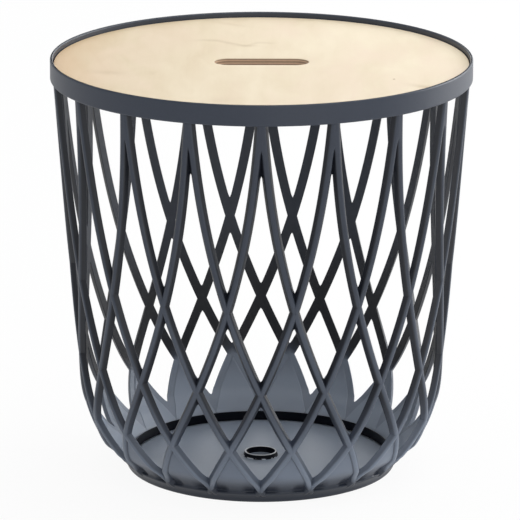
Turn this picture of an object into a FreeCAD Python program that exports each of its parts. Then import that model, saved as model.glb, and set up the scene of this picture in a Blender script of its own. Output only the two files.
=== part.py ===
"""Lidded storage basket: a round lattice of curved ribs between a rim hoop and a base cup, with a plywood lid.

Millimetres, +Z up. The origin is the centre of the base, on the ground.
Angles round the basket start at the front (-Y) and grow towards +X.
"""
import FreeCAD
import Part
import math
import os

# Rim hoop
rim_radius = 200.0            # outside of the hoop
basket_height = 401.0         # ground to the top of the hoop
rim_height = 20.0             # height of the band
rim_wall = 2.8                # thickness of the band beside the lid
rim_edge_round = 1.2          # rounding of the hoop's outer edges
ledge_width = 9.5             # how far the lid's ledge reaches inside the band

# Plywood lid
lid_thickness = 9.0
lid_recess = 5.0              # rim top to lid top
lid_gap = 0.8                 # clearance between the lid's edge and the band
slot_length = 89.0            # finger slot, end to end
slot_width = 27.0
slot_edge_round = 0.8

# Lattice surface: a tapered side that runs into a bowl of one radius
rib_setback = 1.6             # from the hoop's outside to the ribs' outside, at the top
side_taper = 4.8              # degrees from the vertical
bowl_radius = 142.5
foot_radius = 127.5           # where the bowl meets the ground

# Ribs
rib_count = 18                # in each of the two families
rib_face = 5.0                # width of a rib's outer face
rib_base = 8.6                # width of its inner face; the sides are drafted for moulding
rib_depth = 6.0
lean_sweep = 6.65             # degrees of turn spread evenly over the height
curl_sweep = 36.3             # degrees of turn that gather towards the foot
curl_power = 2.47             # how late the curl sets in
lap_clearance = 0.1           # between two ribs that cross in a half lap
rib_overrun = 2.0             # length of bar past each end, cut off flush
rib_sections = 22             # sections along one rib
section_bias = 1.6            # crowds the sections towards the foot

# Base cup
foot_band_height = 8.0        # plain band into which the ribs run out
rib_relief = 4.0              # how far the ribs stand proud of the cup
cup_cover = 0.5               # cup wall behind the ribs' inner faces
flange_thickness = 1.4        # flange under the floor
flange_width = 10.0
crown_blunt = 3.0             # height taken off the crown's points

# Floor
floor_thickness = 1.4
floor_rise = 4.0              # dome of the floor at its centre
floor_radius = 124.0
gasket_thickness = 1.5
gasket_show = 8.9             # height of the gasket above the floor's edge

# Drain collar at the centre of the floor
collar_radius = 16.9          # at its foot
collar_wall = 1.6
collar_taper = 1.9            # how far the lip lies inside the foot
collar_show = 3.2             # height above the floor
collar_seat = 0.7             # depth of its seat in the floor

AXIS = FreeCAD.Vector(0, 0, 1)
CENTRE = FreeCAD.Vector(0, 0, 0)
TOOL_MARGIN = 5.0             # how far a cutting shape runs past what it cuts
TOUCH = 1e-6                  # two lengths closer than this are one

# Heights and radii that follow
rim_bottom = basket_height - rim_height
rim_bore = rim_radius - rim_wall
lid_top = basket_height - lid_recess
lid_bottom = lid_top - lid_thickness
lattice_top_radius = rim_radius - rib_setback
floor_edge_top = flange_thickness + floor_thickness
floor_centre_top = floor_edge_top + floor_rise
cup_bore = floor_radius + gasket_thickness
half_pitch = 180.0 / rib_count
pitch = 2 * half_pitch
lap_depth = rib_relief / 2


def bowl_centre():
    """Centre (radius, height) of the bowl's arc, which is tangent to the side and meets the foot circle.

    The centre lies one bowl radius inside the tapered side, and one bowl radius from the foot.
    """
    taper = math.radians(side_taper)
    down_r, down_z = -math.sin(taper), -math.cos(taper)
    start_r = lattice_top_radius - bowl_radius * math.cos(taper) - foot_radius
    start_z = rim_bottom + bowl_radius * math.sin(taper)
    along = start_r * down_r + start_z * down_z
    square = start_r ** 2 + start_z ** 2 - bowl_radius ** 2
    run = -along - math.sqrt(along ** 2 - square)
    return foot_radius + start_r + run * down_r, start_z + run * down_z


bowl_r, bowl_z = bowl_centre()
tangent_height = bowl_z - bowl_radius * math.sin(math.radians(side_taper))


def surface_radius(z):
    """Radius of the lattice's outer surface at height z."""
    if z >= tangent_height:
        return lattice_top_radius - (rim_bottom - z) * math.tan(math.radians(side_taper))
    return bowl_r + math.sqrt(bowl_radius ** 2 - (bowl_z - z) ** 2)


def surface_tilt(z):
    """Angle by which the lattice surface faces down at height z."""
    if z >= tangent_height:
        return math.radians(side_taper)
    return math.asin((bowl_z - z) / bowl_radius)


def sweep_angle(z):
    """Degrees that a rib has turned round the basket by height z, counted from the rim's top."""
    fall = (basket_height - z) / basket_height
    return lean_sweep * fall + curl_sweep * fall ** curl_power


def level_height(level):
    """Height at which the two rib families cross for the level-th time below the rim, by halving."""
    low, high = 0.0, basket_height
    while high - low > TOUCH:
        middle = (low + high) / 2
        if sweep_angle(middle) > level * half_pitch:
            low = middle
        else:
            high = middle
    return low


crossing_levels = int(sweep_angle(foot_band_height) // half_pitch)
valley_height = level_height(crossing_levels)
peak_height = level_height(crossing_levels - 1)


def around(shape, degrees):
    """Copy of a shape turned about the basket's axis."""
    copy = shape.copy()
    copy.rotate(CENTRE, AXIS, degrees)
    return copy


def at(radius, z):
    """Point of a profile, drawn in the XZ plane."""
    return FreeCAD.Vector(radius, 0, z)


def lines(points):
    """Straight edges from each point to the next."""
    return [Part.makeLine(a, b) for a, b in zip(points, points[1:])]


def revolved(edges):
    """Solid of revolution of a closed profile."""
    return Part.Face(Part.Wire(Part.__sortEdges__(edges))).revolve(CENTRE, AXIS, 360)


def bowl_point(inset, z):
    """Point at height z of the bowl moved inwards by inset."""
    return at(bowl_r + math.sqrt((bowl_radius - inset) ** 2 - (bowl_z - z) ** 2), z)


def bowl_arc(inset, start_z, end_z):
    """Arc between two heights of the bowl moved inwards by inset."""
    middle = bowl_point(inset, (start_z + end_z) / 2)
    return Part.Arc(bowl_point(inset, start_z), middle, bowl_point(inset, end_z)).toShape()


def make_rim_hoop():
    """Band round the mouth, with the ledge that carries the lid."""
    ledge_bore = rim_bore - ledge_width
    profile = [at(rim_radius, rim_bottom), at(rim_radius, basket_height), at(rim_bore, basket_height),
               at(rim_bore, lid_bottom), at(ledge_bore, lid_bottom), at(ledge_bore, rim_bottom),
               at(rim_radius, rim_bottom)]
    hoop = revolved(lines(profile))
    outer = [edge for edge in hoop.Edges
             if hasattr(edge.Curve, "Radius") and abs(edge.Curve.Radius - rim_radius) < TOUCH]
    return hoop.makeFillet(min(rim_edge_round, rim_wall / 3), outer)


def make_lid_panel():
    """Plywood disc with a round-ended finger slot through its middle."""
    disc = Part.makeCylinder(rim_bore - lid_gap, lid_thickness, at(0, lid_bottom))
    straight = slot_length - slot_width
    tool_bottom = lid_bottom - TOOL_MARGIN
    tool_height = lid_thickness + 2 * TOOL_MARGIN
    slot = Part.makeBox(straight, slot_width, tool_height,
                        FreeCAD.Vector(-straight / 2, -slot_width / 2, tool_bottom))
    for side in (-1, 1):
        slot = slot.fuse(Part.makeCylinder(slot_width / 2, tool_height, at(side * straight / 2, tool_bottom)))
    panel = disc.cut(slot.removeSplitter())
    slot_reach = slot_length / 2 + TOOL_MARGIN
    slot_rim = [edge for edge in panel.Edges
                if edge.BoundBox.ZMin > lid_top - TOUCH and edge.BoundBox.XMax < slot_reach]
    return panel.makeFillet(min(slot_edge_round, lid_thickness / 4), slot_rim)


def rib_point(z, hand):
    """Point of a rib's line on the lattice surface; hand is 1 for right and -1 for left."""
    angle = math.radians(hand * sweep_angle(z))
    radius = surface_radius(z)
    return FreeCAD.Vector(radius * math.sin(angle), -radius * math.cos(angle), z)


def rib_width(depth):
    """Width of a rib at a depth below the lattice surface."""
    return rib_face + (rib_base - rib_face) * depth / rib_depth


def rib_section(z, hand, outer, inner):
    """Trapezium square to a rib at height z, between two depths below the lattice surface."""
    angle = math.radians(hand * sweep_angle(z))
    tilt = surface_tilt(z)
    level = math.cos(tilt)
    normal = FreeCAD.Vector(level * math.sin(angle), -level * math.cos(angle), -math.sin(tilt))
    step = 0.5
    along = rib_point(z + step, hand) - rib_point(z - step, hand)
    across = along.cross(normal).normalize()
    near = rib_point(z, hand) - normal * outer
    far = rib_point(z, hand) - normal * inner
    near_half = across * (rib_width(outer) / 2)
    far_half = across * (rib_width(inner) / 2)
    corners = [near - near_half, near + near_half, far + far_half, far - far_half]
    return Part.makePolygon(corners + corners[:1])


def rib_bar(hand, outer, inner):
    """Bar along a rib's line, a little longer than the rib at both ends."""
    low = foot_band_height - rib_overrun
    high = rim_bottom + rib_overrun
    shares = [(i / (rib_sections - 1)) ** section_bias for i in range(rib_sections)]
    sections = [rib_section(low + (high - low) * share, hand, outer, inner) for share in shares]
    return Part.makeLoft(sections, True, False)


def rib_space(hand):
    """Half of the space between foot band and rim: the two ribs that share a start meet on its face."""
    reach = rim_radius + TOOL_MARGIN
    corner = FreeCAD.Vector(min(0, hand * reach), -reach, foot_band_height)
    return Part.makeBox(reach, 2 * reach, rim_bottom - foot_band_height, corner)


def make_ribs(cup):
    """One right and one left rib from the front of the rim.

    Where they cross ribs of the other hand, the right rib keeps its outer layer and the left rib
    the rest. Both are cut back from the cup, on which their lower ends stand.
    """
    levels = range(1, crossing_levels + 1)
    left_rest = rib_bar(-1, lap_depth, rib_depth + TOOL_MARGIN)
    right_layer = rib_bar(1, -lap_depth, lap_depth + lap_clearance)
    right = rib_bar(1, 0, rib_depth).common(rib_space(1))
    right = right.cut([around(left_rest, pitch * level) for level in levels] + [cup])
    left = rib_bar(-1, 0, rib_depth).common(rib_space(-1))
    left = left.cut([around(right_layer, -pitch * level) for level in levels] + [cup])
    return right, left


def crown_notch():
    """V-shaped cut of the crown at the front, from a valley up along the two ribs that cross there."""
    peak_half = surface_radius(peak_height) * math.sin(math.radians(half_pitch))
    top = peak_height + TOOL_MARGIN
    top_half = peak_half * (top - valley_height) / (peak_height - valley_height)
    start = -bowl_r
    corners = [FreeCAD.Vector(x, start, z) for x, z in ((0, valley_height), (top_half, top), (-top_half, top))]
    return Part.Face(Part.makePolygon(corners + corners[:1])).extrude(FreeCAD.Vector(0, -rim_radius, 0))


def make_base_cup():
    """Bowl with the plain foot band, the floor's flange and a crown that follows the ribs."""
    crown_top = peak_height - crown_blunt
    wall_inset = rib_depth + cup_cover
    step_z = bowl_z - math.sqrt((bowl_radius - wall_inset) ** 2 - (cup_bore - bowl_r) ** 2)
    flange_bore = cup_bore - flange_width
    edges = [bowl_arc(0, 0, foot_band_height),
             bowl_arc(rib_relief, foot_band_height, crown_top),
             bowl_arc(wall_inset, crown_top, step_z)]
    edges += lines([bowl_point(0, foot_band_height), bowl_point(rib_relief, foot_band_height)])
    edges += lines([bowl_point(rib_relief, crown_top), bowl_point(wall_inset, crown_top)])
    edges += lines([at(cup_bore, step_z), at(cup_bore, flange_thickness), at(flange_bore, flange_thickness),
                    at(flange_bore, 0), at(foot_radius, 0)])
    notch = crown_notch()
    return revolved(edges).cut([around(notch, pitch * i) for i in range(rib_count)])


def floor_dome(edge_z):
    """Arc of the floor from its edge at height edge_z up to its centre."""
    radius = (floor_radius ** 2 + floor_rise ** 2) / (2 * floor_rise)
    half_rise = math.sqrt(radius ** 2 - (floor_radius / 2) ** 2) - (radius - floor_rise)
    return Part.Arc(at(floor_radius, edge_z), at(floor_radius / 2, edge_z + half_rise),
                    at(0, edge_z + floor_rise)).toShape()


def make_floor_plate():
    """Domed disc that lies on the cup's flange, with a round seat for the drain collar."""
    edges = [floor_dome(flange_thickness), floor_dome(floor_edge_top)]
    edges += lines([at(floor_radius, flange_thickness), at(floor_radius, floor_edge_top)])
    edges += lines([at(0, flange_thickness + floor_rise), at(0, floor_centre_top)])
    seat_bottom = at(0, floor_centre_top - collar_seat)
    seat = Part.makeCylinder(collar_radius, TOOL_MARGIN, seat_bottom)
    seat = seat.cut(Part.makeCylinder(collar_radius - collar_wall, TOOL_MARGIN, seat_bottom))
    return revolved(edges).cut(seat)


def make_floor_gasket():
    """Ring between the floor's edge and the cup, standing on the flange."""
    top = floor_edge_top + gasket_show
    return revolved(lines([at(floor_radius, flange_thickness), at(cup_bore, flange_thickness), at(cup_bore, top),
                           at(floor_radius, top), at(floor_radius, flange_thickness)]))


def make_drain_collar():
    """Short ring, narrower at its lip, that stands in its seat at the centre of the floor."""
    bottom = floor_centre_top - collar_seat
    top = floor_centre_top + collar_show
    foot_bore = collar_radius - collar_wall
    lip_radius = collar_radius - collar_taper
    return revolved(lines([at(foot_bore, bottom), at(collar_radius, bottom), at(collar_radius, floor_centre_top),
                           at(lip_radius, top), at(lip_radius - collar_wall, top),
                           at(foot_bore, floor_centre_top), at(foot_bore, bottom)]))


def build():
    """All nodes of the basket, by name."""
    cup = make_base_cup()
    nodes = {"rim_hoop": make_rim_hoop(), "lid_panel": make_lid_panel(), "base_cup": cup,
             "floor_plate": make_floor_plate(), "floor_gasket": make_floor_gasket(),
             "drain_collar": make_drain_collar()}
    right, left = make_ribs(cup)
    for i in range(rib_count):
        nodes[f"rib_right_{i + 1:02d}"] = around(right, pitch * i)
        nodes[f"rib_left_{i + 1:02d}"] = around(left, pitch * i)
    return nodes


os.makedirs("parts", exist_ok=True)
for name, shape in build().items():
    shape.exportStep(os.path.join("parts", name + ".step"))
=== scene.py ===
"""Looks of the lidded storage basket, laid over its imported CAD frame.

Every piece is a surface worked out on a grid, in metres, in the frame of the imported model: Z goes up along
the basket's axis, -Y is the front, and angles go round from the front towards +X, but for the lid's.
"""

import logging
import math
from dataclasses import dataclass
from enum import Enum
from typing import Any, Dict, List, Sequence, Tuple, Union

import bpy
import numpy as np
from mathutils import Matrix, Vector


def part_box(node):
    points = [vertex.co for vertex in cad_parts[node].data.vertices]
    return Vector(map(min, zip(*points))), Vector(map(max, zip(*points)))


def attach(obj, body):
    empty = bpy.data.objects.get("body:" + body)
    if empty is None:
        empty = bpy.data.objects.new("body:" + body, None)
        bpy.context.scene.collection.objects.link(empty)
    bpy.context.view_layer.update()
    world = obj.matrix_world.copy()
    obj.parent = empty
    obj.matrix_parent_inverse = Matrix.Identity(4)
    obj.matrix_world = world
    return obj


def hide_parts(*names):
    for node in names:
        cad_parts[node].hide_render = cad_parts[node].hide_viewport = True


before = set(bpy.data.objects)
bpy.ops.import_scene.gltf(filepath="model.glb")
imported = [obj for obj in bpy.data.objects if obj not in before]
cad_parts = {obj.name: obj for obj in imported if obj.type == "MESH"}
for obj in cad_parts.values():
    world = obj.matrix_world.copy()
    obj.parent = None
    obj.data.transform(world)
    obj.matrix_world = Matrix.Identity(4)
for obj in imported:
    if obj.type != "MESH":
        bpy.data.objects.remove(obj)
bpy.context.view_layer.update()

LOG = logging.getLogger("storage_basket")
MM = 0.001
PHOTO_SIDE = 520

GUARD_SHARE = 0.25
RIB_SETBACK = 1.6 * MM

Triple = Tuple[float, float, float]
Span = Tuple[float, float]
Marks = Dict[str, np.ndarray]


class Body(Enum):
    """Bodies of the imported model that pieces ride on."""

    BASKET = "basket"
    LID = "lid"


class Slot(Enum):
    """Material slots of the record."""

    SLATE = "slate_plastic"
    BIRCH = "birch_plywood"
    RUBBER = "black_rubber"


class Hand(Enum):
    """Way in which a rib winds round the basket as it goes down."""

    RIGHT = 1
    LEFT = -1


class Value:
    """A number that varies over a surface; arithmetic on it adds Math nodes."""

    def __init__(self, graph: "Graph", socket: bpy.types.NodeSocket) -> None:
        """Wraps one output socket of a graph."""
        self.graph = graph
        self.socket = socket

    def _math(self, operation: str, first: "Operand", second: "Operand" = 0.0) -> "Value":
        """Adds one Math node.

        Args:
            operation: name of the node's operation.
            first: first operand, a number or a Value.
            second: second operand.

        Returns:
            The node's result.
        """
        node = self.graph.node("ShaderNodeMath", {"operation": operation}, {0: first, 1: second})
        return Value(self.graph, node.outputs[0])

    def __add__(self, other: "Operand") -> "Value":
        """Sum."""
        return self._math("ADD", self, other)

    def __radd__(self, other: "Operand") -> "Value":
        """Sum with a number on the left."""
        return self._math("ADD", other, self)

    def __sub__(self, other: "Operand") -> "Value":
        """Difference."""
        return self._math("SUBTRACT", self, other)

    def __rsub__(self, other: "Operand") -> "Value":
        """Difference from a number on the left."""
        return self._math("SUBTRACT", other, self)

    def __mul__(self, other: "Operand") -> "Value":
        """Product."""
        return self._math("MULTIPLY", self, other)

    def __rmul__(self, other: "Operand") -> "Value":
        """Product with a number on the left."""
        return self._math("MULTIPLY", other, self)

    def __truediv__(self, other: "Operand") -> "Value":
        """Quotient."""
        return self._math("DIVIDE", self, other)

    def __pow__(self, other: "Operand") -> "Value":
        """Power."""
        return self._math("POWER", self, other)

    def sine(self) -> "Value":
        """Sine of an angle in radians."""
        return self._math("SINE", self)

    def exp(self) -> "Value":
        """Natural exponential."""
        return self._math("EXPONENT", self)

    def over(self, low: float, high: float) -> "Value":
        """Smooth step.

        Args:
            low: input that gives 0, and so does all below it.
            high: input that gives 1, and so does all above it.

        Returns:
            The step, from 0 to 1.
        """
        settings = {"interpolation_type": "SMOOTHSTEP", "clamp": True}
        inputs = {"Value": self, "From Min": low, "From Max": high}
        return Value(self.graph, self.graph.node("ShaderNodeMapRange", settings, inputs).outputs[0])


Operand = Union[Value, float]


class Graph:
    """Node tree of one material, with a Principled shader at its end."""

    def __init__(self, name: str) -> None:
        """Makes an empty material of that name."""
        self.material = bpy.data.materials.new(name)
        self.material.use_nodes = True
        self.tree = self.material.node_tree
        self.tree.nodes.clear()
        self.shader = self.node("ShaderNodeBsdfPrincipled", {}, {})
        self.output = self.node("ShaderNodeOutputMaterial", {}, {"Surface": self.shader.outputs[0]})

    def end(self, surface: bpy.types.NodeSocket) -> None:
        """Puts another shader at the end of the tree."""
        self.tree.links.new(surface, self.output.inputs["Surface"])

    def node(self, kind: str, settings: Dict[str, Any], inputs: Dict[Union[int, str], Any]) -> bpy.types.Node:
        """Adds a node.

        Args:
            kind: type of the node.
            settings: the node's own options.
            inputs: number, colour, Value or output socket for each input, by its name or its place.

        Returns:
            The node.
        """
        node = self.tree.nodes.new(kind)
        for name, setting in settings.items():
            setattr(node, name, setting)
        for place, value in inputs.items():
            self._give(node.inputs[place], value)
        return node

    def _give(self, socket: bpy.types.NodeSocket, value: Any) -> None:
        """Links an input to a Value or an output socket, or sets it to a number or a colour.

        Args:
            socket: the input.
            value: what it gets.
        """
        source = value.socket if isinstance(value, Value) else value
        if isinstance(source, bpy.types.NodeSocket):
            self.tree.links.new(source, socket)
        else:
            socket.default_value = source

    def axes(self) -> Tuple[Value, Value, Value]:
        """Object coordinates as three numbers in metres."""
        coordinates = self.node("ShaderNodeTexCoord", {}, {}).outputs["Object"]
        split = self.node("ShaderNodeSeparateXYZ", {}, {0: coordinates})
        return tuple(Value(self, socket) for socket in split.outputs)

    def noise(self, scale: Union[float, Triple], detail: float = 2.0, warp: float = 0.0) -> Value:
        """Cloudy noise on Object coordinates.

        Args:
            scale: cycles per metre along each axis, or one number for all three.
            detail: octaves on top of the first.
            warp: distortion of the pattern.

        Returns:
            The noise, about 0.2 to 0.8.
        """
        cycles = scale if isinstance(scale, tuple) else (scale,) * 3
        coordinates = self.node("ShaderNodeTexCoord", {}, {}).outputs["Object"]
        place = self.node("ShaderNodeMapping", {}, {"Vector": coordinates, "Scale": cycles}).outputs[0]
        inputs = {"Vector": place, "Scale": 1.0, "Detail": detail, "Distortion": warp}
        return Value(self, self.node("ShaderNodeTexNoise", {}, inputs).outputs[0])

    def mark(self, name: str) -> Value:
        """A number kept at the mesh's points."""
        node = self.node("ShaderNodeAttribute", {"attribute_name": name}, {})
        return Value(self, node.outputs["Fac"])

    def mix(self, first: Any, second: Any, factor: Operand) -> bpy.types.NodeSocket:
        """Mixes two colours.

        Args:
            first: colour at factor 0, as three numbers or a socket.
            second: colour at factor 1.
            factor: share of the second colour.

        Returns:
            The mixed colour.
        """
        pair = [(*c, 1.0) if isinstance(c, tuple) else c for c in (first, second)]
        settings = {"data_type": "RGBA", "blend_type": "MIX", "clamp_factor": True}
        return self.node("ShaderNodeMix", settings, {0: factor, 6: pair[0], 7: pair[1]}).outputs[2]

    def bump(self, height: Value, strength: float, distance: float) -> bpy.types.NodeSocket:
        """Normal roughened by a height.

        Args:
            height: height from 0 to 1.
            strength: share of the effect.
            distance: depth in metres of a height of 1.

        Returns:
            The normal.
        """
        inputs = {"Height": height, "Strength": strength, "Distance": distance}
        return self.node("ShaderNodeBump", {}, inputs).outputs[0]

    def feed(self, **inputs: Any) -> None:
        """Sets or links the shader's inputs, with underscores for the spaces in their names."""
        for name, value in inputs.items():
            self._give(self.shader.inputs[name.replace("_", " ").title().replace("Ior", "IOR")], value)


@dataclass(frozen=True)
class SlateFinish:
    """Satin moulded plastic in dark slate grey, finely textured, with rubbed edges under a painted highlight,
    and painted light and shade, such as the pale inside.
    """

    name: str = "slate plastic"
    base: Triple = (0.028, 0.037, 0.058)
    pale: Triple = (0.041, 0.052, 0.077)
    # colour of rubbed edges, which also stands for a painted highlight along them
    worn_and_highlit: Triple = (0.070, 0.085, 0.110)
    # painted light, mixed in by a tone above 0
    light: Triple = (0.288, 0.343, 0.435)
    # painted shade, mixed in by a tone below 0
    deep: Triple = (0.004, 0.005, 0.009)
    roughness: float = 0.42
    cloud_cycles: Triple = (9.0, 9.0, 7.0)
    speck_cycles: float = 420.0
    wear_cycles: float = 60.0
    ripple_cycles: float = 90.0
    grain_cycles: float = 1900.0
    grain_depth: float = 0.05 * MM

    def material(self) -> bpy.types.Material:
        """Cloudy colour under a bump of two noises, with rubbing and a painted highlight by the mesh's edge
        mark, and painted light and shade by its tone mark.

        A tone above 0 mixes the light colour in as painted light, and a tone below 0 the deep one as painted
        shade.

        Returns:
            The material.
        """
        graph = Graph(self.name)
        cloud = graph.noise(self.cloud_cycles, 3.0)
        speck = graph.noise(self.speck_cycles)
        tone = graph.mix(self.base, self.pale, (cloud - 0.3) * 1.4 + (speck - 0.5) * 0.5)
        edge = graph.mark("edge")
        # rubbing broken by noise, and a painted highlight along the edges
        wear_and_highlight = edge * (0.25 + 0.6 * graph.noise(self.wear_cycles, 3.0).over(0.35, 0.7))
        colour = graph.mix(tone, self.worn_and_highlit, wear_and_highlight)
        # tone mark: painted light above 0, painted shade below 0
        shade = graph.mark("tone")
        colour = graph.mix(colour, self.light, shade * (0.95 + 0.4 * (cloud - 0.5)))
        colour = graph.mix(colour, self.deep, shade * -1.0)
        grain = graph.noise(self.grain_cycles)
        ripple = graph.noise(self.ripple_cycles, 1.0)
        normal = graph.bump(grain + 1.5 * ripple, 0.35, self.grain_depth)
        roughness = self.roughness + (cloud - 0.5) * 0.12 + (grain - 0.5) * 0.1 - edge * 0.06
        graph.feed(base_color=colour, roughness=roughness, normal=normal)
        return graph.material


@dataclass(frozen=True)
class RubberFinish:
    """Smooth black rubber with a faint bloom, fine dust, a painted highlight on its lips and painted glints.
    """

    name: str = "black rubber"
    base: Triple = (0.0030, 0.0038, 0.0075)
    bloom: Triple = (0.006, 0.007, 0.011)
    # pale colour of the painted highlight on the lip and of the painted glints
    lip: Triple = (0.74, 0.78, 0.83)
    roughness: float = 0.30
    sheen: float = 0.12
    bloom_cycles: float = 45.0
    dust_cycles: float = 900.0
    glint_cycles: float = 170.0
    grain_cycles: float = 700.0
    grain_depth: float = 0.04 * MM

    def material(self) -> bpy.types.Material:
        """Black with cloudy bloom, with a painted highlight by the mesh's edge mark and painted glints, in
        broken spots, by its glint mark.

        It is rougher where the bloom is.

        Returns:
            The material.
        """
        graph = Graph(self.name)
        bloom = graph.noise(self.bloom_cycles, 4.0).over(0.4, 0.75)
        dust = graph.noise(self.dust_cycles, 1.0).over(0.6, 0.8)
        colour = graph.mix(self.base, self.bloom, bloom * 0.7 + dust * 0.2)
        # painted highlight along the lip
        colour = graph.mix(colour, self.lip, graph.mark("edge") * (0.65 + bloom * 0.35))
        # painted glints, broken into spots by noise
        broken = graph.noise(self.glint_cycles, 1.0).over(0.5, 0.56)
        colour = graph.mix(colour, self.lip, graph.mark("glint") * broken)
        normal = graph.bump(graph.noise(self.grain_cycles), 0.2, self.grain_depth)
        graph.feed(base_color=colour, roughness=self.roughness + bloom * 0.12, normal=normal,
                   specular_ior_level=self.sheen)
        return graph.material


@dataclass(frozen=True)
class BirchFinish:
    """Birch plywood with a clear matt lacquer: pale cloudy veneer along Y, striped plies at its cut walls.

    A mineral stroke has its middle in X and Y, its reach across and along, its slope and its share.
    """

    bottom: float
    top: float
    name: str = "birch plywood"
    pale: Triple = (0.900, 0.784, 0.582)
    tan: Triple = (0.70, 0.556, 0.355)
    rose: Triple = (0.87, 0.70, 0.54)
    blush: Triple = (0.70, 0.47, 0.26)
    mineral: Triple = (0.40, 0.26, 0.09)
    ply_light: Triple = (0.66, 0.45, 0.30)
    ply_dark: Triple = (0.33, 0.22, 0.14)
    strokes: Tuple[Tuple[float, ...], ...] = (
        (-0.050, 0.0910, 0.013, 0.0042, -0.1, 0.22),
        (-0.030, 0.0800, 0.012, 0.0046, -0.8, 0.26),
        (-0.015, 0.0695, 0.009, 0.0046, 0.0, 0.30),
        (-0.008, 0.0770, 0.006, 0.0046, 1.1, 0.16),
        (0.004, 0.0825, 0.009, 0.0042, 0.0, 0.17),
        (-0.143, -0.0460, 0.015, 0.0085, -0.3, 0.19),
        (-0.102, -0.0466, 0.003, 0.0080, 0.0, 0.08),
        (0.152, -0.1030, 0.013, 0.0070, -0.5, 0.34),
        (-0.032, 0.1650, 0.018, 0.0060, -0.6, 0.14),
        (-0.038, -0.1580, 0.012, 0.0140, 0.0, 0.12),
        (0.1234, -0.0734, 0.001, 0.0024, 0.0, 0.85),
    )
    plies: int = 7
    roughness: float = 0.55
    cloud_cycles: Triple = (15.0, 4.5, 1.0)
    figure_cycles: Triple = (44.0, 13.0, 1.0)
    hue_cycles: Triple = (19.0, 6.5, 1.0)
    fibre_cycles: Triple = (320.0, 9.0, 1.0)
    grain_cycles: Triple = (1500.0, 40.0, 1500.0)
    fray_cycles: Triple = (300.0, 300.0, 500.0)
    grain_depth: float = 0.05 * MM
    sway: float = 12.0 * MM

    def material(self) -> bpy.types.Material:
        """Face veneer mixed with ply stripes by the mesh's cut mark, under a bump of fibres.

        Returns:
            The material.
        """
        graph = Graph(self.name)
        x, y, z = graph.axes()
        face = self._face(graph, x, y)
        wall = self._wall(graph, z)
        cut = graph.mark("cut")
        fibre = graph.noise(self.grain_cycles, 3.0)
        normal = graph.bump(fibre, 0.25, self.grain_depth)
        roughness = self.roughness + (fibre - 0.5) * 0.15 + cut * 0.15
        graph.feed(base_color=graph.mix(face, wall, cut), roughness=roughness, normal=normal)
        return graph.material

    def _face(self, graph: Graph, x: Value, y: Value) -> bpy.types.NodeSocket:
        """Face veneer.

        Cloudy figure from three broad noises and faint fibres from a noise stretched along Y, tanner to the
        left, partly as the veneer's own tone and partly as painted shade away from the light at the right.
        Each mineral stroke is a bell of the distance from its middle, across a line with its own slope.

        Args:
            graph: the material's graph.
            x: Object coordinate across the grain.
            y: Object coordinate along the grain.

        Returns:
            The colour.
        """
        cloud = graph.noise(self.cloud_cycles, 4.0, 0.9)
        figure = graph.noise(self.figure_cycles, 3.0, 0.6)
        hue = graph.noise(self.hue_cycles, 3.0, 0.5)
        fibre = graph.noise(self.fibre_cycles, 3.0, 0.3)
        # tanner to the left: the veneer's own tone and painted shade away from the light at the right
        tan_share = (x * -1.0).over(-0.17, 0.24) * 0.72 + (cloud - 0.5) * 1.0 + (figure - 0.5) * 0.6
        colour = graph.mix(self.pale, self.tan, tan_share + (fibre - 0.5) * 0.12 + 0.08)
        colour = graph.mix(colour, self.rose, (hue - 0.5) * 2.2)
        # blush at the left end: the veneer's own tone and painted shade there
        colour = graph.mix(colour, self.blush, (x * -1.0).over(0.12, 0.2) * (cloud - 0.2) * 1.4)
        sway = (figure - 0.5) * self.sway
        for middle_x, middle_y, reach_x, reach_y, lean, share in self.strokes:
            across = x - middle_x
            drop = (y - middle_y + sway - across * lean) / reach_y
            spot = (across / reach_x) ** 2.0 + drop * drop
            colour = graph.mix(colour, self.mineral, (spot * -1.0).exp() * share)
        return colour

    def _wall(self, graph: Graph, height: Value) -> bpy.types.NodeSocket:
        """Cut walls: plies alternate from light to dark as the sine of the height.

        Args:
            graph: the material's graph.
            height: Object coordinate along Z.

        Returns:
            The colour.
        """
        turns = math.pi * self.plies / (self.top - self.bottom)
        ply = ((height - self.bottom) * turns).sine()
        fray = graph.noise(self.fray_cycles, 3.0)
        return graph.mix(self.ply_light, self.ply_dark, (ply + (fray - 0.5) * 1.2).over(-0.5, 0.6))


@dataclass(frozen=True)
class Coat:
    """Material of a piece and the record's slot that it stands for."""

    material: bpy.types.Material
    slot: Slot


def smooth(value: np.ndarray, low: float, high: float) -> np.ndarray:
    """Smooth step: 0 at low, 1 at high, three times the square less twice the cube of the share between."""
    share = np.clip((value - low) / (high - low), 0.0, 1.0)
    return share * share * (3.0 - 2.0 * share)


def quads(rows: int, columns: int, ring: bool) -> np.ndarray:
    """Corner numbers of the quads of a grid of points whose columns close on themselves.

    Each quad joins a point, the next one in its row and the same two of the next row. Where the rows don't
    close too, the first and last row are shut by strips of quads that join a row's first half to its second.

    Args:
        rows: number of rows.
        columns: points in a row, an even number.
        ring: the last row joins the first one.

    Returns:
        Array of faces by 4.
    """
    across = np.arange(columns)
    along = np.arange(rows if ring else rows - 1)[:, None]
    after = (across + 1) % columns
    near = along * columns
    far = (along + 1) % rows * columns
    faces = np.stack([near + across, near + after, far + after, far + across], axis=-1).reshape(-1, 4)
    if ring:
        return faces
    half = np.arange(columns // 2 - 1)
    strip = np.stack([half, columns - 1 - half, columns - 2 - half, half + 1], axis=-1)
    return np.concatenate([faces, strip, strip[:, ::-1] + (rows - 1) * columns])


def outward(points: np.ndarray, faces: np.ndarray) -> np.ndarray:
    """Turns the faces of a closed surface outwards, by the sign of the volume that they enclose.

    Args:
        points: array of points by 3.
        faces: array of faces by 4.

    Returns:
        The faces, with their corners reversed where the volume was negative.
    """
    a, b, c, d = (points[faces[:, k]] for k in range(4))
    volume = np.sum(a * (np.cross(b, c) + np.cross(c, d)))
    return faces if volume > 0 else faces[:, ::-1]


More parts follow.
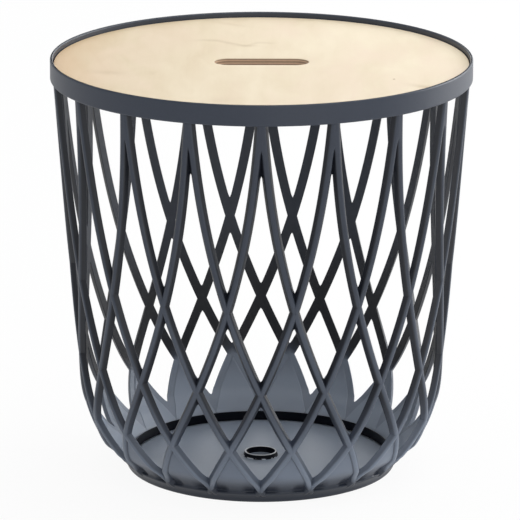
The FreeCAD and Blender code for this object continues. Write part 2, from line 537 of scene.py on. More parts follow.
def rounded_outline(corners: Sequence[Triple], steps: int) -> np.ndarray:
    """Closed outline whose corners are arcs.

    The arc of a corner touches both sides at the radius times the tangent of half the turn from the corner,
    and its points are swung evenly from one touching point to the other. A guard point on each side, a share
    of the radius further on, keeps the sides flat when the surface is shaded smooth.

    Args:
        corners: two coordinates and a radius for each corner, in order.
        steps: points on each arc.

    Returns:
        Array of points by 2.
    """
    table = np.array(corners)
    tip, radius = table[:, :2], table[:, 2:]
    before = tip - np.roll(tip, 1, axis=0)
    after = np.roll(tip, -1, axis=0) - tip
    before = before / np.linalg.norm(before, axis=1, keepdims=True)
    after = after / np.linalg.norm(after, axis=1, keepdims=True)
    half = np.arccos(np.clip(np.sum(before * after, axis=1, keepdims=True), -1.0, 1.0)) / 2.0
    reach = radius * np.tan(half)
    inward = (after - before) / np.linalg.norm(after - before, axis=1, keepdims=True)
    centre = tip + inward * radius / np.cos(half)
    start, end = tip - before * reach, tip + after * reach
    share = np.linspace(0.0, 1.0, steps)[None, :, None]
    swing = 2.0 * half[:, None, :]
    early = np.sin((1.0 - share) * swing) * (start - centre)[:, None]
    late = np.sin(share * swing) * (end - centre)[:, None]
    arc = centre[:, None] + (early + late) / np.sin(swing)
    lead = (start - before * radius * GUARD_SHARE)[:, None]
    tail = (end + after * radius * GUARD_SHARE)[:, None]
    return np.concatenate([lead, arc, tail], axis=1).reshape(-1, 2)


def round_angles(columns: int) -> np.ndarray:
    """Angles of evenly spaced columns round the axis."""
    return np.linspace(0.0, 2.0 * np.pi, columns, endpoint=False)


def around(radius: np.ndarray, angle: np.ndarray, height: np.ndarray) -> np.ndarray:
    """Points (r sin a, -r cos a, z) at radii r, angles a and heights z."""
    return np.stack(np.broadcast_arrays(radius * np.sin(angle), -radius * np.cos(angle), height), axis=-1)


def revolved(outline: np.ndarray, columns: int) -> np.ndarray:
    """Turns an outline about the Z axis: each of its points goes round at evenly spaced angles.

    Args:
        outline: radii and heights, as an array of points by 2.
        columns: number of angles.

    Returns:
        Array of outline points by angles by 3.
    """
    return around(outline[:, :1], round_angles(columns), outline[:, 1:])


def add_piece(
    node: str, points: np.ndarray, ring: bool, marks: Marks, coat: Coat, body: Body = Body.BASKET,
) -> None:
    """Puts a grid of points into the scene as one closed piece that stands for a CAD node.

    Args:
        node: CAD node that the piece replaces.
        points: array of rows by columns by 3.
        ring: the rows close on themselves.
        marks: numbers to keep at the points, each an array that spreads over rows by columns.
        coat: finish of the piece.
        body: body that the piece rides on.
    """
    name = f"look_{node}"
    rows, columns = points.shape[:2]
    flat = points.reshape(-1, 3)
    faces = outward(flat, quads(rows, columns, ring))
    mesh = bpy.data.meshes.new(name)
    mesh.from_pydata(flat.tolist(), [], faces.tolist(), shade_flat=False)
    for mark, numbers in marks.items():
        layer = mesh.attributes.new(mark, "FLOAT", "POINT")
        layer.data.foreach_set("value", np.broadcast_to(numbers, (rows, columns)).astype(np.float32).ravel())
    mesh.materials.append(coat.material)
    piece = bpy.data.objects.new(name, mesh)
    bpy.context.scene.collection.objects.link(piece)
    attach(piece, body.value)
    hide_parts(node)
    LOG.info("%s: %d faces on %s", name, len(faces), body.value)


@dataclass(frozen=True)
class LatticeForm:
    """Form on which all ribs lie: a tapered side that runs smoothly into a bowl, and the ribs' winding."""

    height: float
    rim_bottom: float
    top_radius: float
    foot_radius: float = 127.5 * MM
    taper: float = math.radians(4.8)
    bowl_radius: float = 142.5 * MM
    lean_sweep: float = math.radians(6.65)
    curl_sweep: float = math.radians(36.3)
    curl_power: float = 2.47
    swell: float = 1.25 * MM
    swell_low: Span = (18.0 * MM, 28.0 * MM)
    swell_high: Span = (92.0 * MM, 58.0 * MM)
    tuck: float = 1.9 * MM
    tuck_low: Span = (0.0, 8.0 * MM)
    tuck_high: Span = (29.0 * MM, 17.0 * MM)
    # painted light down the side and the bowl, and painted shade at the foot
    side_light: float = 0.18
    side_light_span: Span = (230.0 * MM, 160.0 * MM)
    bowl_light: float = 0.86
    bowl_light_span: Span = (100.0 * MM, 22.0 * MM)
    foot_painted_shade: float = -0.2
    foot_span: Span = (13.0 * MM, 9.0 * MM)
    count: int = 18

    @property
    def pitch(self) -> float:
        """Angle from one rib to the next of its family."""
        return 2.0 * math.pi / self.count

    def bowl_centre(self) -> Tuple[float, float]:
        """Radius and height of the middle of the bowl's arc.

        The arc touches the tapered side, so its middle lies one bowl radius inside the side, and it meets the
        ground at the foot radius: both give one quadratic equation for its height.

        Returns:
            Radius and height.
        """
        lean, bend = math.tan(self.taper), self.bowl_radius
        offset = self.top_radius - self.rim_bottom * lean - bend / math.cos(self.taper) - self.foot_radius
        a, b, c = 1.0 + lean * lean, 2.0 * offset * lean, offset * offset - bend * bend
        height = (-b + math.sqrt(b * b - 4.0 * a * c)) / (2.0 * a)
        return offset + height * lean + self.foot_radius, height

    def radius(self, height: np.ndarray) -> np.ndarray:
        """Radius of the form: the side above the arc's touching height, the arc below, and the fullness.

        Args:
            height: heights over the ground.

        Returns:
            Radii.
        """
        middle, level = self.bowl_centre()
        side = self.top_radius - (self.rim_bottom - height) * math.tan(self.taper)
        bowl = middle + np.sqrt(np.maximum(self.bowl_radius**2 - (height - level) ** 2, 0.0))
        touch = level - self.bowl_radius * math.sin(self.taper)
        return np.where(height > touch, side, bowl) + self.fullness(height)

    def fullness(self, height: np.ndarray) -> np.ndarray:
        """Slight swell of the bowl and a tuck under it, each between two smooth steps of the height."""
        above = self.swell * smooth(height, *self.swell_low) * smooth(height, *self.swell_high)
        return above - self.tuck * smooth(height, *self.tuck_low) * smooth(height, *self.tuck_high)

    def slope(self, height: np.ndarray) -> np.ndarray:
        """Change of the radius with the height, by a central difference."""
        step = 0.01 * MM
        return (self.radius(height + step) - self.radius(height - step)) / (2.0 * step)

    def sweep(self, height: np.ndarray) -> np.ndarray:
        """Angle that a rib has wound from the rim: a steady lean and a curl by a power of the fall."""
        fall = np.clip((self.height - height) / self.height, 0.0, None)
        return self.lean_sweep * fall + self.curl_sweep * fall**self.curl_power

    def height_at(self, angle: np.ndarray) -> np.ndarray:
        """Height at which a rib has wound by an angle, read back from its sweep.

        Args:
            angle: angles from the rim.

        Returns:
            Heights.
        """
        heights = np.linspace(self.height, 0.0, 4001)
        return np.interp(angle, self.sweep(heights), heights)

    def outside_painted_shading(self, height: np.ndarray, share: float, going: Span) -> np.ndarray:
        """Tone mark of the outside.

        Painted light grows a little down the side and more down the bowl, and goes again towards the foot,
        which has painted shade, each as a smooth step.

        Args:
            height: heights over the ground.
            share: share of the painted light that shows.
            going: height at which the painted light has gone and height at which it begins to go.

        Returns:
            Tones.
        """
        side = self.side_light * smooth(height, *self.side_light_span)
        grown = side + self.bowl_light * smooth(height, *self.bowl_light_span)
        return share * grown * smooth(height, *going) + self.foot_painted_shade * smooth(height, *self.foot_span)

    def bowl(self, height: np.ndarray, inset: np.ndarray) -> np.ndarray:
        """Radius of the bowl moved inwards.

        An arc with the same middle and a smaller radius, which has the fullness of the outer point on the
        same spoke from that middle.

        Args:
            height: heights over the ground.
            inset: distance inwards.

        Returns:
            Radii.
        """
        middle, level = self.bowl_centre()
        bend = self.bowl_radius - inset
        spoke = level + (height - level) * self.bowl_radius / bend
        return middle + np.sqrt(bend**2 - (height - level) ** 2) + self.fullness(spoke)


@dataclass
class RibLattice:
    """Two families of ribs that wind down the form in opposite ways and cross flush."""

    form: LatticeForm
    coat: Coat
    face: float = 5.4 * MM
    base: float = 9.6 * MM
    depth: float = 6.0 * MM
    crown: float = 0.9 * MM
    # place, depth and fall of the edge mark: rubbing and a painted highlight near the outer corners
    wear_and_highlight_place: float = 0.9
    wear_and_highlight_depth: float = 2.0
    wear_and_highlight_fall: float = 2.5
    outer_round: float = 2.3 * MM
    inner_round: float = 0.45 * MM
    arc_steps: int = 6
    flare: float = 0.06
    flare_span: Span = (200.0 * MM, 340.0 * MM)
    fillet: float = 0.85 * MM
    fillet_full: float = 0.6
    web_end: Span = (-3.0 * MM, -2.0 * MM)
    web_depth: Span = (-0.45, -0.9)
    top_overrun: float = 3.0 * MM
    foot_end: float = 4.0 * MM
    fade_top: float = 8.0 * MM
    fade_depth: float = 1.6 * MM
    merge_span: Span = (351.0 * MM, 363.0 * MM)
    merge_round: float = 0.5 * MM
    merge_gain: float = 0.6 * MM
    merge_depth: float = -0.6
    outer_depth: Span = (-0.32, -0.08)
    inner_depth: Span = (-0.86, -1.0)
    # painted light and shade of the tone mark on the face, the sides, the inner face and beside the petals
    face_share: float = 0.66
    face_going: Span = (8.0 * MM, 21.0 * MM)
    side_share: float = 0.4
    side_painted_shade: float = -0.85
    side_span: Span = (55.0 * MM, 115.0 * MM)
    back_painted_shade: float = -0.25
    back_low_painted_shade: float = -0.7
    back_span: Span = (215.0 * MM, 120.0 * MM)
    petal_painted_light: float = 0.75
    petal_span: Span = (76.0 * MM, 56.0 * MM)
    stations: int = 150
    crowding: float = 1.35

    def profile(self, crown: float, outer_round: float) -> Tuple[np.ndarray, np.ndarray]:
        """Section of a rib.

        A trapezium, drafted for moulding, with rounded corners. Its outer face falls from the middle by the
        crown times the square of the distance. The edge mark, for rubbing and a painted highlight, falls with
        the distance from the outer corners.

        Args:
            crown: fall of the outer face at its edges.
            outer_round: radius of the outer corners.

        Returns:
            Points across the rib and along its outward normal, and the edge mark of each.
        """
        face, base = self.face / 2.0, self.base / 2.0
        corners = [
            (-face, 0.0, outer_round),
            (-base, -self.depth, self.inner_round),
            (base, -self.depth, self.inner_round),
            (face, 0.0, outer_round),
        ]
        outline = rounded_outline(corners, self.arc_steps)
        away = np.clip(np.abs(outline[:, 0]) / face, 0.0, 1.0)
        fall = np.where(outline[:, 1] > -self.depth / 2.0, crown * away * away, 0.0)
        section = np.stack([outline[:, 0], outline[:, 1] - fall], axis=-1)
        # edge mark: rubbing and a painted highlight along the outer corners
        turn = np.abs(away - self.wear_and_highlight_place) + np.abs(outline[:, 1]) / self.depth * self.wear_and_highlight_depth
        return section, np.clip(1.0 - turn * self.wear_and_highlight_fall, 0.0, 1.0)

    def heights(self) -> np.ndarray:
        """Heights of the stations, closer together towards the foot."""
        share = np.linspace(0.0, 1.0, self.stations)
        top = self.form.rim_bottom + self.top_overrun
        return top + (self.foot_end - top) * (1.0 - (1.0 - share) ** self.crowding)

    def points(self, start: float, hand: Hand) -> np.ndarray:
        """Carries the section down the form.

        The line's angle is the start plus or minus the form's sweep. The section stands square to the line,
        with its normal square to the form. It widens by the flare towards the rim, and its face sinks over
        the fade at the foot, each as a smooth step. Under the rim the half beside the neighbour turns into a
        flat section with sharp corners, a little wider, so that the two faces merge.

        Args:
            start: angle at the rim.
            hand: way of winding.

        Returns:
            Array of stations by section points by 3.
        """
        height = self.heights()
        angle = start + hand.value * self.form.sweep(height)
        radius, slope = self.form.radius(height), self.form.slope(height)
        line = around(radius, angle, height)
        normal = around(1.0, angle, -slope)
        normal /= np.linalg.norm(normal, axis=1, keepdims=True)
        tangent = np.gradient(line, axis=0)
        across = np.cross(normal, tangent)
        across /= np.linalg.norm(across, axis=1, keepdims=True)
        section, _ = self.profile(self.crown, self.outer_round)
        flush, _ = self.profile(0.0, self.merge_round)
        depth = section[:, 1] / self.depth
        flush[:, 0] += np.sign(section[:, 0]) * self.merge_gain * (depth > self.merge_depth)
        merge = smooth(height, *self.merge_span)[:, None] * (section[:, 0] * hand.value < 0.0)
        shape = section + (flush - section) * merge[..., None]
        level = np.stack([np.cos(angle), np.sin(angle), 0.0 * angle], axis=-1)
        behind, ahead = self.webs(height, np.abs(np.sum(across * level, axis=1)))
        right, left = (ahead, behind) if hand is Hand.RIGHT else (behind, ahead)
        gain = np.where(section[:, 0] > 0.0, right[:, None], -left[:, None])
        widen = 1.0 + self.flare * smooth(height, *self.flare_span)
        width = shape[..., 0] * widen[:, None] + gain * smooth(depth, *self.web_depth)
        sink = self.fade_depth * smooth(height, self.fade_top, self.foot_end)
        rise = shape[..., 1] - sink[:, None] * (1.0 + depth)
        return line[:, None] + across[:, None] * width[..., None] + normal[:, None] * rise[..., None]

    def webs(self, height: np.ndarray, upright: np.ndarray) -> Tuple[np.ndarray, np.ndarray]:
        """Width that a rib gains at its base in the acute corners of the crossings.

        Ribs cross wherever they have wound a whole number of half pitches. The gap to a crossing's meridian
        is the arc to it over the cosine of the rib's lean, less half the base, and the corner is filled where
        the gap is less than the fillet's radius, as a smooth step.

        Args:
            height: heights of the stations.
            upright: cosine of the rib's lean at each of them.

        Returns:
            Gains on the side of the crossing above and on the side of the crossing below.
        """
        turn = self.form.sweep(height) * 2.0 / self.form.pitch
        arc = self.form.radius(height) * self.form.pitch / 2.0 / upright
        gaps = [arc * share - self.base / 2.0 for share in (turn % 1.0, 1.0 - turn % 1.0)]
        full = self.fillet_full * self.fillet
        behind, ahead = (
            self.fillet * smooth(gap, self.fillet, full) * smooth(gap, *self.web_end) for gap in gaps
        )
        return behind, ahead

    def tone(self, depth: np.ndarray) -> np.ndarray:
        """Tone mark of the ribs, which paints light and shade.

        The outer face has painted light that grows towards the foot, which has painted shade; the drafted
        sides have painted shade above the petals; and the inner face has painted shade that deepens down to
        the petals and the petals' painted light beside them. Smooth steps of the depth in the section tell
        the faces apart.

        Args:
            depth: heights of the section's points along the outward normal, as shares of the rib's depth.

        Returns:
            Array of stations by section points.
        """
        height = self.heights()[:, None]
        outer = smooth(depth, *self.outer_depth)
        inner = smooth(depth, *self.inner_depth)
        beside = smooth(height, *self.petal_span)
        back = self.back_painted_shade + self.back_low_painted_shade * smooth(height, *self.back_span)
        back = back * (1.0 - beside) + self.petal_painted_light * beside
        face = self.form.outside_painted_shading(height, self.face_share, self.face_going)
        side = self.side_share * face + self.side_painted_shade * smooth(height, *self.side_span)
        return face * outer + back * inner + side * (1.0 - outer - inner)

    def build(self) -> None:
        """Adds the ribs of both families."""
        section, edge = self.profile(self.crown, self.outer_round)
        marks = {"edge": edge[None], "tone": self.tone(section[:, 1] / self.depth)}
        for hand in Hand:
            for number in range(self.form.count):
                node = f"rib_{hand.name.lower()}_{number + 1:02d}"
                add_piece(node, self.points(self.form.pitch * number, hand), False, marks, self.coat)


@dataclass
class RimHoop:
    """Hoop round the top, with a ledge inside that carries the lid."""

    radius: float
    bottom: float
    top: float
    ledge_top: float
    coat: Coat
    wall: float = 2.8 * MM
    ledge_width: float = 9.5 * MM
    ledge_bottom_round: float = 1.2 * MM
    ledge_round: float = 0.5 * MM
    edge_round: float = 1.5 * MM
    arc_steps: int = 6
    wear_and_highlight_height: float = 1.2 * MM
    paler: float = 0.014
    columns: int = 360

    def build(self) -> None:
        """Turns an L-shaped section with rounded corners about the axis; its top edge is rubbed and has a
        painted highlight.
        """
        bore = self.radius - self.wall
        ledge = bore - self.ledge_width
        corners = [
            (self.radius, self.bottom, self.edge_round),
            (self.radius, self.top, self.edge_round),
            (bore, self.top, self.edge_round),
            (bore, self.ledge_top, self.ledge_round),
            (ledge, self.ledge_top, self.ledge_round),
            (ledge, self.bottom, self.ledge_bottom_round),
        ]
        outline = rounded_outline(corners, self.arc_steps)
        from_top = np.abs(outline[:, 1] - self.top)
        # edge mark: rubbing and a painted highlight along the top edge
        edge = np.clip(1.0 - from_top / self.wear_and_highlight_height, 0.0, 1.0)
        marks = {"edge": edge[:, None], "tone": np.full((1, 1), self.paler)}
        add_piece("rim_hoop", revolved(outline, self.columns), True, marks, self.coat)


@dataclass
class BaseCup:
    """Cup at the foot: a smooth band, a flange inside it and eighteen pointed petals behind the ribs."""

    form: LatticeForm
    coat: Coat
    band_low: Span = (0.6 * MM, 5.0 * MM)
    band_high: float = 9.5 * MM
    band_end: float = 12.5 * MM
    band_inset: float = 1.0 * MM
    low_inset: float = 2.9 * MM
    petal_inset: float = 2.5 * MM
    inner_inset: float = 6.5 * MM
    low_span: Span = (34.0 * MM, 18.0 * MM)
    pocket: float = 1.6 * MM
    pocket_span: Span = (24.0 * MM, 15.0 * MM)
    valley_span: Span = (18.0 * MM, 11.0 * MM)
    crown_span: Span = (1.0 * MM, 5.0 * MM)
    crown_round: float = 1.0 * MM
    crown_half: float = 0.9 * MM
    bore: float = 125.5 * MM
    bore_top: float = 7.0 * MM
    flange_bore: float = 115.5 * MM
    flange_top: float = 1.4 * MM
    chamfer: float = 0.3 * MM
    heel_width: float = 2.0 * MM
    heel_edge: float = 0.6 * MM
    heel_lift: float = 0.05 * MM
    # painted light on the inside, less of it towards the crown, and painted shade in the corners beside the
    # valleys
    inside_fall: float = 0.4
    inside_span: Span = (34.0 * MM, 64.0 * MM)
    outside_share: float = 0.64
    outside_going: Span = (13.0 * MM, 33.0 * MM)
    corner_painted_shade: float = -0.25
    corner_low: Span = (10.0 * MM, 12.0 * MM)
    corner_high: Span = (20.0 * MM, 15.0 * MM)
    band_rows: int = 16
    outer_rows: int = 20
    inner_rows: int = 14
    petal_columns: int = 32

    def from_valley(self, angle: np.ndarray) -> np.ndarray:
        """Angle from the nearest valley between two petals."""
        half = self.form.pitch / 2.0
        return np.abs((angle + half) % self.form.pitch - half)

    def crown_height(self, angle: np.ndarray) -> np.ndarray:
        """Top of the petals, on the ribs' centre lines.

        From a valley, where two ribs have each wound 40 degrees, the nearer rib rises to the peak where they
        have wound 30 degrees, so the sweep is 40 degrees less the angle from the nearest valley.

        Args:
            angle: angles round the axis.

        Returns:
            Heights.
        """
        return self.form.height_at(2.0 * self.form.pitch - self.from_valley(angle))

    def outer_inset(self, height: np.ndarray, crown: np.ndarray, by_valley: np.ndarray) -> np.ndarray:
        """Depth of the cup's outside below the ribs' faces.

        Smooth steps of the height lead from the ground into the band, over its edge to the foot of the petals
        and from there, more shallow, up to the crown. Beside the valleys the foot has a pocket of its own.

        Args:
            height: heights over the ground.
            crown: heights of the crown above them.
            by_valley: 1 beside a valley and 0 in the middle of a petal.

        Returns:
            Insets.
        """
        band = self.band_inset * smooth(height, *self.band_low)
        foot = (self.low_inset - self.petal_inset) * smooth(height, *self.low_span)
        foot = foot + self.pocket * by_valley * smooth(height, *self.pocket_span)
        foot = self.petal_inset - self.band_inset + foot * smooth(crown - height, *self.crown_span)
        return band + foot * smooth(height, self.band_high, self.band_end)

    def build(self) -> None:
        """Adds the cup.

        Rows of points go round the section: up the band on the form, in by a smooth step to the petals'
        outside, up to the crown, over its rounded edge, down the inside and round the flange.
        """
        angle = round_angles(self.form.count * self.petal_columns)
        crown = self.crown_height(angle)
        by_valley = smooth(self.from_valley(angle) * self.form.foot_radius, *self.valley_span)
        rows: List[np.ndarray] = []
        tone: List[np.ndarray] = []

        def add_row(height: np.ndarray, inset: np.ndarray, inner: float) -> None:
            """Adds one row of points that lie inside the bowl, with a share of the inside's painted light."""
            rows.append(around(self.form.bowl(height, inset), angle, height))
            # painted light of the inside, falling off towards the crown
            inside = 1.0 - self.inside_fall * smooth(height, *self.inside_span)
            # painted shade in the corners beside the valleys, just above the band
            corner = by_valley * smooth(height, *self.corner_low) * smooth(height, *self.corner_high)
            outside = self.form.outside_painted_shading(height, self.outside_share, self.outside_going)
            tone.append(inner * inside + (1.0 - inner) * (outside + self.corner_painted_shade * corner))

        def add_ring(radius: float, level: float, inner: float) -> None:
            """Adds one level ring of points of one tone."""
            rows.append(around(radius, angle, level))
            tone.append(inner + 0.0 * angle)

        flat = 0.0 * angle
        foot = self.form.foot_radius
        add_ring(self.flange_bore, self.chamfer, 0.0)
        add_ring(self.flange_bore + self.chamfer, 0.0, 0.0)
        add_ring(foot - self.heel_width, 0.0, 0.0)
        add_ring(foot - self.heel_edge, self.heel_lift, 0.0)
        for height in np.linspace(self.band_low[0], self.band_end, self.band_rows):
            add_row(flat + height, self.outer_inset(flat + height, crown, by_valley), 0.0)
        petal = crown - self.crown_round - self.band_end
        for share in np.linspace(0.0, 1.0, self.outer_rows)[1:]:
            height = self.band_end + petal * share
            add_row(height, self.outer_inset(height, crown, by_valley), 0.0)
        middle = (self.petal_inset + self.inner_inset) / 2.0
        add_row(crown, flat + middle - self.crown_half, 0.3)
        add_row(crown, flat + middle + self.crown_half, 0.7)
        for share in np.linspace(1.0, 0.0, self.inner_rows):
            add_row(self.band_end + petal * share, flat + self.inner_inset, 1.0)
        add_ring(self.bore, self.bore_top, 1.0)
        add_ring(self.bore, self.flange_top, 1.0)
        add_ring(self.flange_bore + self.chamfer, self.flange_top, 1.0)
        add_ring(self.flange_bore, self.flange_top - self.chamfer, 1.0)
        marks = {"edge": np.zeros((1, 1)), "tone": np.stack(tone)}
        add_piece("base_cup", np.stack(rows), True, marks, self.coat)


@dataclass
class FloorDisc:
    """Domed floor plate, the thin black upright band round it and the drain collar in its middle."""

    slate: Coat
    rubber: Coat
    radius: float = 124.0 * MM
    thickness: float = 1.4 * MM
    seat: float = 1.4 * MM
    rise: float = 4.0 * MM
    edge_thickness: float = 2.8 * MM
    # share of the painted light on the floor plate
    pale: float = 0.80
    gasket_thickness: float = 1.5 * MM
    gasket_top: float = 12.9 * MM
    gasket_round: float = 0.45 * MM
    hub_radius: float = 2.0 * MM
    dish_flat: float = 11.0 * MM
    dish_radius: float = 13.5 * MM
    dish_edge: float = 1.0 * MM
    dish_outside: float = 18.0 * MM
    dish_depth: float = 2.2 * MM
    collar_radius: float = 16.9 * MM
    collar_lip: float = 15.5 * MM
    collar_wall: float = 1.7 * MM
    collar_top: float = 11.0 * MM
    collar_bottom: float = 6.1 * MM
    collar_round: float = 0.3 * MM
    collar_root_in: float = 2.0 * MM
    collar_root_drop: float = 1.0 * MM
    lip_round: float = 0.6 * MM
    # spans of the painted highlight on the lip and of the painted glints at the foot
    lip_span: Span = (-0.4 * MM, -0.05 * MM)
    glint_span: Span = (1.7 * MM, 1.3 * MM)
    glint_shares: Span = (0.265, 0.35)
    collar_columns: int = 128
    columns: int = 288

    def build(self) -> None:
        """Adds the three pieces."""
        self._plate()
        self._gasket()
        self._collar()

    def dome(self, radius: np.ndarray) -> np.ndarray:
        """Height of the dome's underside: a parabola of the radius, less a dish in the middle."""
        dish = self.dish_depth * smooth(radius - self.dish_radius, self.dish_edge, -self.dish_edge)
        return self.seat + self.rise * (1.0 - (radius / self.radius) ** 2) - dish

    def _plate(self) -> None:
        """Turns two parabolas about the axis: the plate thickens with the square of the radius. Its tone mark
        gives it painted light.
        """
        dish = np.linspace(self.hub_radius, self.dish_flat, 5)
        wall = np.linspace(self.dish_radius - self.dish_edge, self.dish_radius + self.dish_edge, 7)
        dome = np.linspace(self.dish_outside, self.radius, 30)
        radius = np.concatenate([dish, wall, dome])
        thick = self.thickness + (self.edge_thickness - self.thickness) * (radius / self.radius) ** 2
        top = np.stack([radius, self.dome(radius) + thick], axis=-1)
        under = np.stack([radius, self.dome(radius)], axis=-1)[::-1]
        points = revolved(np.concatenate([top, under]), self.columns)
        add_piece("floor_plate", points, False, {"tone": np.full((1, 1), self.pale)}, self.slate)

    def _gasket(self) -> None:
        """Turns a thin upright section with rounded corners about the axis."""
        inner, outer = self.radius, self.radius + self.gasket_thickness
        corners = [
            (outer, self.seat, self.gasket_round),
            (outer, self.gasket_top, self.gasket_round),
            (inner, self.gasket_top, self.gasket_round),
            (inner, self.seat, self.gasket_round),
        ]
        points = revolved(rounded_outline(corners, 4), self.columns)
        add_piece("floor_gasket", points, True, {}, self.rubber)

    def _collar(self) -> None:
        """Turns a leaning wall about the axis, with a painted highlight on its rounded lip and a line of
        painted glints at its foot.
        """
        foot, lip, wall = self.collar_radius, self.collar_lip, self.collar_wall
        root = foot - wall - self.collar_root_in
        corners = [
            (foot, self.collar_bottom, self.collar_round),
            (lip, self.collar_top, self.lip_round),
            (lip - wall, self.collar_top, self.lip_round),
            (root, self.collar_bottom - self.collar_root_drop, self.collar_round),
        ]
        outline = rounded_outline(corners, 5)
        share = np.array(self.glint_shares)[:, None]
        wall_line = np.array(corners[0][:2]) * (1.0 - share) + np.array(corners[1][:2]) * share
        outline = np.insert(outline, len(outline) // len(corners), wall_line, axis=0)
        # edge mark: painted highlight on the lip; glint mark: painted glints at the foot
        edge = smooth(outline[:, 1] - self.collar_top, *self.lip_span)
        glint = smooth(outline[:, 1] - self.collar_bottom, *self.glint_span) * (outline[:, 0] > lip)
        marks = {"edge": edge[:, None], "glint": glint[:, None]}
        add_piece("drain_collar", revolved(outline, self.collar_columns), True, marks, self.rubber)


@dataclass
class PlywoodLid:
    """Round plywood lid with a finger slot in its middle."""

    radius: float
    bottom: float
    top: float
    coat: Coat
    slot_length: float = 89.0 * MM
    slot_width: float = 27.0 * MM
    edge_round: float = 0.7 * MM
    edge_steps: int = 5
    slot_bottom_cut: float = 0.4
    columns: int = 384
    rings: int = 14

    def slot_line(self, out: float) -> np.ndarray:
        """Outline of the slot, moved outwards: two half circles joined by straight sides, evenly spaced.

        The distance along the outline goes round from the right end. On an end the angle grows with it, and
        on a straight side the middle of the end moves with it.

        Args:
            out: distance that the outline is moved outwards.

        Returns:
            Array of points by 2.
        """
        bend = self.slot_width / 2.0
        straight = self.slot_length - self.slot_width
        turns = np.pi * np.array([0.0, 0.5, 0.5, 1.5, 1.5, 2.0])
        knots = bend * turns + straight * np.array([0.0, 0.0, 1.0, 1.0, 2.0, 2.0])
        along = np.linspace(0.0, knots[-1], self.columns, endpoint=False)
        turn = np.interp(along, knots, turns)
        middle = straight * np.interp(along, knots, [0.5, 0.5, -0.5, -0.5, 0.5, 0.5])
        return np.stack([middle + (bend + out) * np.cos(turn), (bend + out) * np.sin(turn)], axis=-1)

    def wall(self, bottom_cut: float) -> List[Triple]:
        """Steps up a cut wall whose edges are quarter circles.

        Args:
            bottom_cut: cut mark at the bottom face.

        Returns:
            Height, distance back from the wall and cut mark of each step.
        """
        quarter = np.linspace(0.0, np.pi / 2.0, self.edge_steps)
        lift, back = self.edge_round * (1.0 - np.sin(quarter)), self.edge_round * (1.0 - np.cos(quarter))
        rising = np.linspace(bottom_cut, 1.0, self.edge_steps)
        low = zip(self.bottom + lift[::-1], back[::-1], rising)
        middle = [(self.bottom + (self.top - self.bottom) * part, 0.0, 1.0) for part in (0.3, 0.7)]
        high = zip(self.top - lift, back, np.linspace(1.0, 0.0, self.edge_steps))
        return [*low, *middle, *high]

    def build(self) -> None:
        """Adds the lid.

        Rows of points go up the slot's wall, over its rounded edge, out to the rim on lines that join the
        slot's outline to a circle, over the outer edge, down the wall and back under the lid. The slot's
        outline and the circle both go round from +X.
        """
        angle = round_angles(self.columns)
        circle = np.stack([np.cos(angle), np.sin(angle)], axis=-1)
        inner, outer = self.slot_line(self.edge_round), circle * (self.radius - self.edge_round)
        lines = [inner + (outer - inner) * part for part in np.linspace(0.0, 1.0, self.rings + 2)[1:-1]]
        rows = [(self.slot_line(back), high, cut) for high, back, cut in self.wall(self.slot_bottom_cut)]
        rows += [(line, self.top, 0.0) for line in lines]
        rows += [(circle * (self.radius - back), high, cut) for high, back, cut in self.wall(0.0)[::-1]]
        rows += [(line, self.bottom, 0.0) for line in lines[::-1]]
        flat = np.stack([line for line, _, _ in rows])
        height = np.array([high for _, high, _ in rows])[:, None, None]
        points = np.concatenate([flat, np.broadcast_to(height, (*flat.shape[:2], 1))], axis=-1)
        cut = np.array([mark for _, _, mark in rows])[:, None]
        add_piece("lid_panel", points, True, {"cut": cut}, self.coat, Body.LID)


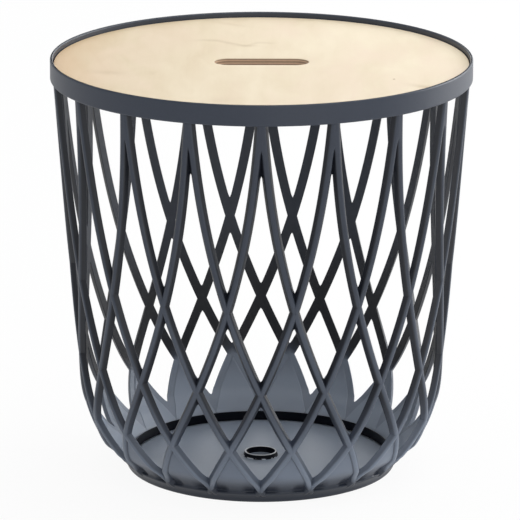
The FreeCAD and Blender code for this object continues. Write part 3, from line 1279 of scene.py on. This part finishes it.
@dataclass
class Studio:
    """Pale floor, soft light and the camera."""

    floor_side: float = 14.0
    floor_drop: float = 0.2 * MM
    floor_tones: Span = (0.88, 0.92)
    floor_cycles: float = 0.7
    floor_roughness: float = 0.9
    floor_glow: float = 0.93
    gloss_share: float = 0.6
    sky: Triple = (0.97, 0.98, 1.0)
    sky_strength: float = 0.45
    view_middle: float = 201.0 * MM
    view_distance: float = 4642.0 * MM
    view_elevation: float = math.radians(15.213)
    view_roll: float = math.radians(0.132)
    view_shift: Tuple[float, float] = (-1.04 * MM, 0.72 * MM)
    focal_pixels: float = 4855.4

    def build(self) -> None:
        """Adds everything round the object."""
        self._floor()
        self._world()
        self._lamps()
        self._camera()
        bpy.context.scene.view_settings.view_transform = "Standard"

    def _floor(self) -> None:
        """Large level square under the basket, white to the eye but for a share of the shadow on it."""
        graph = Graph("studio floor")
        dark, pale = ((tone,) * 3 for tone in self.floor_tones)
        colour = graph.mix(dark, pale, graph.noise(self.floor_cycles))
        graph.feed(base_color=colour, roughness=self.floor_roughness)
        ray = graph.node("ShaderNodeLightPath", {}, {})
        seen = Value(graph, ray.outputs["Is Camera Ray"]) + Value(graph, ray.outputs["Is Transmission Ray"])
        seen = seen + Value(graph, ray.outputs["Is Glossy Ray"]) * self.gloss_share
        glow = graph.node("ShaderNodeEmission", {}, {"Color": (1.0, 1.0, 1.0, 1.0), "Strength": 1.0})
        inputs = {0: seen * self.floor_glow, 1: graph.shader.outputs[0], 2: glow.outputs[0]}
        graph.end(graph.node("ShaderNodeMixShader", {}, inputs).outputs[0])
        half = self.floor_side / 2.0
        mesh = bpy.data.meshes.new("studio_floor")
        corners = [(half * x, half * y, -self.floor_drop) for x, y in ((-1, -1), (1, -1), (1, 1), (-1, 1))]
        mesh.from_pydata(corners, [], [(0, 1, 2, 3)])
        mesh.materials.append(graph.material)
        floor = bpy.data.objects.new("studio_floor", mesh)
        bpy.context.scene.collection.objects.link(floor)

    def _world(self) -> None:
        """White surroundings."""
        world = bpy.data.worlds.new("studio")
        world.use_nodes = True
        background = world.node_tree.nodes["Background"]
        background.inputs["Color"].default_value = (*self.sky, 1.0)
        background.inputs["Strength"].default_value = self.sky_strength
        bpy.context.scene.world = world

    def _lamps(self) -> None:
        """Soft lamps: a large one above, one at the right, a wide one behind and a weak one in front."""
        self._lamp("top", (0.4, 0.3, 2.6), (0.0, 0.0, 0.2), (2.6, 2.6), 32.0)
        self._lamp("right", (2.25, 1.05, 0.9), (0.0, 0.0, 0.2), (1.8, 1.6), 42.0)
        self._lamp("back", (0.6, 3.0, 1.0), (0.0, 0.0, 0.1), (3.2, 1.4), 18.0)
        self._lamp("front", (1.1, -2.8, 1.0), (0.0, 0.0, 0.2), (2.0, 2.0), 12.0)

    @staticmethod
    def _lamp(
        name: str, place: Sequence[float], target: Sequence[float], sides: Tuple[float, float], power: float,
    ) -> None:
        """Adds a rectangular lamp that faces a point.

        Args:
            name: name of the lamp.
            place: middle of the lamp.
            target: point that it faces.
            sides: its width and its height.
            power: watts.
        """
        data = bpy.data.lights.new(name, "AREA")
        data.shape = "RECTANGLE"
        data.size, data.size_y = sides
        data.energy = power
        lamp = bpy.data.objects.new(name, data)
        lamp.location = place
        toward = np.array(target) - np.array(place)
        flat = math.hypot(toward[0], toward[1])
        lamp.rotation_euler = (math.atan2(flat, -toward[2]), 0.0, math.atan2(-toward[0], toward[1]))
        bpy.context.scene.collection.objects.link(lamp)

    def _camera(self) -> None:
        """Camera at the photograph's angle, whose lens gives the photograph's focal length in pixels."""
        data = bpy.data.cameras.new("camera")
        data.sensor_fit = "HORIZONTAL"
        data.lens = data.sensor_width * self.focal_pixels / PHOTO_SIDE
        data.clip_end = 100.0
        camera = bpy.data.objects.new("camera", data)
        turn = Matrix.Rotation(math.pi / 2.0 - self.view_elevation, 3, "X")
        back = turn @ Vector((*self.view_shift, self.view_distance))
        camera.location = Vector((0.0, 0.0, self.view_middle)) + back
        camera.rotation_euler = (turn @ Matrix.Rotation(self.view_roll, 3, "Z")).to_euler()
        bpy.context.scene.collection.objects.link(camera)
        bpy.context.scene.camera = camera


def main() -> None:
    """Builds the basket, its lid and the studio."""
    logging.basicConfig(level=logging.INFO, format="%(name)s %(message)s")
    rim_low, rim_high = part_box("rim_hoop")
    lid_low, lid_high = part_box("lid_panel")
    slate = Coat(SlateFinish().material(), Slot.SLATE)
    rubber = Coat(RubberFinish().material(), Slot.RUBBER)
    birch = Coat(BirchFinish(lid_low.z, lid_high.z).material(), Slot.BIRCH)
    form = LatticeForm(rim_high.z, rim_low.z, rim_high.x - RIB_SETBACK)
    RibLattice(form, slate).build()
    RimHoop(rim_high.x, rim_low.z, rim_high.z, lid_low.z, slate).build()
    BaseCup(form, slate).build()
    FloorDisc(slate, rubber).build()
    PlywoodLid(lid_high.x, lid_low.z, lid_high.z, birch).build()
    Studio().build()


if __name__ == "__main__":
    main()
